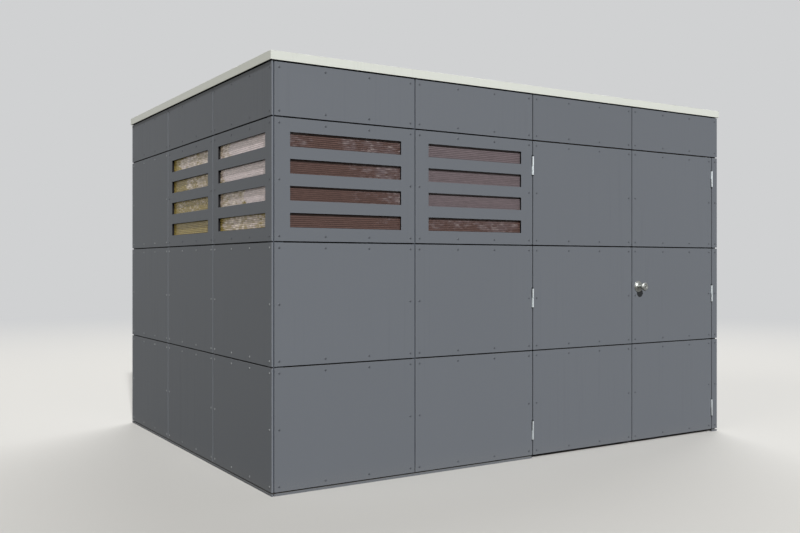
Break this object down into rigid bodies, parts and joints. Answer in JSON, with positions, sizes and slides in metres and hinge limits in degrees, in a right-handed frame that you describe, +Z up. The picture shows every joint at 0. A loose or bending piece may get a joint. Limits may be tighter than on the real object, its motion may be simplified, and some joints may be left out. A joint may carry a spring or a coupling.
{
  "type": "garden shed",
  "caption": "Flat-roofed cube-shaped garden shed on a timber frame, clad in large grey boards with slotted windows, a pale metal roof edge and an outward-opening double door.",
  "frame": {"origin": "on the ground, at the middle of the shed's plan", "axes": "+X along the front to the right as seen from outside, +Y from the front towards the back, +Z up; the double door faces -Y"},
  "size_m": [3.528, 2.676, 2.323],
  "materials": {
    "cladding_board": "matt compact laminate board, mid anthracite grey, 8 mm",
    "frame_timber": "planed pale softwood",
    "floor_board": "plywood deck",
    "roof_board": "pressed wood board",
    "roof_sheet": "black sheet rubber",
    "roof_edge_metal": "pale powder-coated aluminium, satin",
    "joint_rubber": "black joint tape",
    "ribbed_sheet": "ribbed translucent twin-wall sheet",
    "hinge_steel": "bright zinc-plated steel",
    "knob_steel": "brushed stainless steel"
  },
  "bodies": {
    "root": {"sill_beams": "frame_timber", "door_threshold": "frame_timber", "floor_joists": "frame_timber", "floor_deck": "floor_board", "corner_posts": "frame_timber", "door_post": "frame_timber", "wall_studs": "frame_timber", "front_wall_rails": "frame_timber", "left_wall_rails": "frame_timber", "right_wall_rails": "frame_timber", "back_wall_rails": "frame_timber", "door_header": "frame_timber", "door_stops": "frame_timber", "top_plates": "frame_timber", "roof_kerb": "frame_timber", "roof_rafters": "frame_timber", "roof_deck": "roof_board", "roof_membrane": "roof_sheet", "roof_trim": "roof_edge_metal", "front_fascia_panels": "cladding_board", "front_window_panels": "cladding_board", "front_wall_panels": "cladding_board", "corner_strip_panels": "cladding_board", "left_fascia_panels": "cladding_board", "left_window_panels": "cladding_board", "left_wall_panels": "cladding_board", "right_wall_panels": "cladding_board", "back_wall_panels": "cladding_board", "window_gaskets": "joint_rubber", "window_glazing": "ribbed_sheet", "glazing_beads": "frame_timber", "base_trim": "cladding_board", "joint_tape": "joint_rubber", "post_hinge_halves": "hinge_steel"},
    "left_leaf": {"left_leaf_hinges": "hinge_steel", "left_leaf_stiles": "frame_timber", "left_leaf_rails": "frame_timber", "left_leaf_panels": "cladding_board", "left_leaf_tape": "joint_rubber"},
    "right_leaf": {"right_leaf_hinges": "hinge_steel", "right_leaf_stiles": "frame_timber", "right_leaf_rails": "frame_timber", "right_leaf_panels": "cladding_board", "right_leaf_tape": "joint_rubber", "knob_rosettes": "knob_steel"},
    "knob": {"outer_knob": "knob_steel", "inner_knob": "knob_steel", "knob_spindle": "knob_steel"}
  },
  "joints": [
    {"name": "left_leaf_hinge", "type": "hinge", "parent": "root", "child": "left_leaf", "pos_m": [0.012, -1.303, 1], "axis": [0, 0, -1], "range_deg": [0, 170]},
    {"name": "right_leaf_hinge", "type": "hinge", "parent": "root", "child": "right_leaf", "pos_m": [1.696, -1.303, 1], "axis": [0, 0, 1], "range_deg": [0, 170]},
    {"name": "knob_turn", "type": "hinge", "parent": "right_leaf", "child": "knob", "pos_m": [0.944, -1.3, 1.06], "axis": [0, -1, 0], "range_deg": [-60, 60], "stiffness_Nm_per_rad": 0.4}
  ]
}
